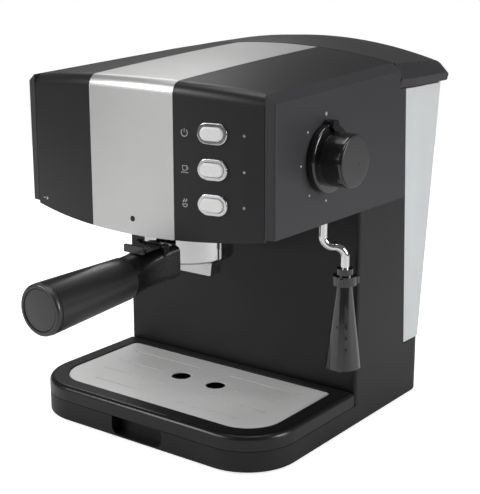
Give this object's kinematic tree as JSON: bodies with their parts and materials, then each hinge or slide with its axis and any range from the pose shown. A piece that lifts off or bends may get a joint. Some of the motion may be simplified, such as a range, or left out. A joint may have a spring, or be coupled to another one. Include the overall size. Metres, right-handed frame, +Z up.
{
  "type": "espresso machine",
  "caption": "Home espresso machine with a bowed front, lever filter holder, steam wand with frother sleeve, side steam knob, drip tray and lift-out rear water tank.",
  "frame": {"origin": "on the counter under the middle of the whole object's box", "axes": "+Z up, +Y to the back, +X to the side with the steam knob"},
  "size_m": [0.258, 0.354, 0.2916],
  "materials": {
    "housing_black": "moulded plastic with a fine satin grain",
    "plate_black": "plain moulded plastic",
    "rubber": "soft black rubber",
    "screw_steel": "zinc-plated steel",
    "side_charcoal": "charcoal moulded plastic, satin",
    "panel_charcoal": "charcoal moulded plastic, satin",
    "panel_silver": "fine silver paint, satin",
    "tray_black": "black moulded plastic with a soft gloss",
    "grille_steel": "satin stainless steel",
    "frame_steel": "galvanised sheet steel",
    "cast_aluminium": "die-cast aluminium",
    "element_steel": "sheathed heating element",
    "screen_steel": "pressed stainless steel",
    "thermostat_grey": "thermostat body",
    "holder_chrome": "chrome-plated die casting",
    "spout_chrome": "chrome-plated plastic",
    "neck_black": "heat-proof black plastic",
    "grip_black": "heat-proof black plastic, satin",
    "cap_black": "heat-proof black plastic, satin",
    "clip_black": "black coated spring steel",
    "valve_brass": "turned brass",
    "pipe_steel": "stainless tube",
    "knob_gloss": "glossy black plastic",
    "knob_satin": "satin black plastic",
    "socket_brass": "turned brass",
    "wand_chrome": "chrome-plated tube",
    "sleeve_gloss": "glossy black plastic",
    "button_pearl": "pearl white plastic",
    "bezel_chrome": "plated plastic ring",
    "lamp_red": "translucent light pipe",
    "switch_black": "switch body",
    "board_green": "circuit board",
    "tank_milky": "frosted translucent plastic",
    "valve_white": "moulded plastic",
    "lid_grey": "charcoal moulded plastic, satin",
    "pump_grey": "glass-filled plastic",
    "coil_black": "potted coil",
    "hose_clear": "silicone hose",
    "gland_black": "soft plastic gland"
  },
  "bodies": {
    "machine": {"base_housing": "housing_black", "column_housing": "housing_black", "tank_pedestal": "housing_black", "head_underside": "housing_black", "head_back_panel": "housing_black", "base_plate": "plate_black", "rubber_feet": "rubber", "group_gasket": "rubber", "base_screws": "screw_steel", "group_screws": "screw_steel", "left_side_cover": "side_charcoal", "right_side_cover": "side_charcoal", "left_front_panel": "panel_charcoal", "right_front_panel": "panel_charcoal", "centre_panel": "panel_silver", "chassis_frame": "frame_steel", "pump_mount": "frame_steel", "group_head": "cast_aluminium", "boiler_lower": "cast_aluminium", "boiler_upper": "cast_aluminium", "heating_element": "element_steel", "shower_screen": "screen_steel", "thermostats": "thermostat_grey", "steam_valve_body": "valve_brass", "steam_pipes": "pipe_steel", "wand_socket": "socket_brass", "wand_nut": "wand_chrome", "button_bezels": "bezel_chrome", "indicator_lenses": "lamp_red", "switches": "switch_black", "control_board": "board_green", "tank_socket": "valve_white", "pump_body": "pump_grey", "pump_coil": "coil_black", "inlet_hose": "hose_clear", "pump_outlet_tube": "hose_clear", "cord_gland": "gland_black"},
    "filter_holder": {"portafilter_bowl": "holder_chrome", "spout": "spout_chrome", "filter_basket": "screen_steel", "handle_neck": "neck_black", "handle_grip": "grip_black", "handle_end_cap": "cap_black"},
    "clip": {"basket_clip": "clip_black"},
    "knob": {"steam_knob": "knob_gloss", "knob_face": "knob_satin", "valve_stem": "valve_brass"},
    "wand": {"wand_tube": "wand_chrome", "steam_nozzle": "wand_chrome"},
    "frother": {"frother_sleeve": "sleeve_gloss", "frother_collar": "sleeve_gloss"},
    "power_button": {"power_button": "button_pearl"},
    "brew_button": {"brew_button": "button_pearl"},
    "steam_button": {"steam_button": "button_pearl"},
    "tray": {"drip_tray": "tray_black"},
    "grille": {"drip_grille": "grille_steel"},
    "tank": {"water_tank": "tank_milky", "tank_valve": "valve_white", "valve_seal": "rubber"},
    "lid": {"tank_lid": "lid_grey"}
  },
  "joints": [
    {"name": "holder_turn", "type": "hinge", "parent": "machine", "child": "filter_holder", "pos_m": [-0.011, -0.01845, 0.15], "axis": [0, 0, 1], "range_deg": [-50, 0]},
    {"name": "clip_lift", "type": "hinge", "parent": "filter_holder", "child": "clip", "pos_m": [-0.011, -0.06145, 0.1506], "axis": [-1, 0, 0], "range_deg": [0, 25]},
    {"name": "knob_turn", "type": "hinge", "parent": "machine", "child": "knob", "pos_m": [0.109, -0.00795, 0.2205], "axis": [1, 0, 0], "range_deg": [0, 180]},
    {"name": "wand_swivel", "type": "hinge", "parent": "machine", "child": "wand", "pos_m": [0.091, 0.01135, 0.182], "axis": [0, 0, 1], "range_deg": [-110, 15]},
    {"name": "frother_pull", "type": "slide", "parent": "wand", "child": "frother", "axis": [0, 0, -1], "range_m": [0, 0.025]},
    {"name": "tray_slide", "type": "slide", "parent": "machine", "child": "tray", "axis": [0, -1, 0], "range_m": [0, 0.13]},
    {"name": "grille_lift", "type": "slide", "parent": "tray", "child": "grille", "axis": [0, 0, 1], "range_m": [0, 0.05]},
    {"name": "tank_lift", "type": "slide", "parent": "machine", "child": "tank", "axis": [0, 0, 1], "range_m": [0, 0.22]},
    {"name": "lid_open", "type": "hinge", "parent": "tank", "child": "lid", "pos_m": [-0.011, 0.17155, 0.262], "axis": [-1, 0, 0], "range_deg": [0, 75]},
    {"name": "power_press", "type": "slide", "parent": "machine", "child": "power_button", "axis": [-0.1683, 0.9857, 0], "range_m": [0, 0.003], "stiffness_N_per_m": 300},
    {"name": "brew_press", "type": "slide", "parent": "machine", "child": "brew_button", "axis": [-0.1683, 0.9857, 0], "range_m": [0, 0.003], "stiffness_N_per_m": 300},
    {"name": "steam_press", "type": "slide", "parent": "machine", "child": "steam_button", "axis": [-0.1683, 0.9857, 0], "range_m": [0, 0.003], "stiffness_N_per_m": 300}
  ]
}
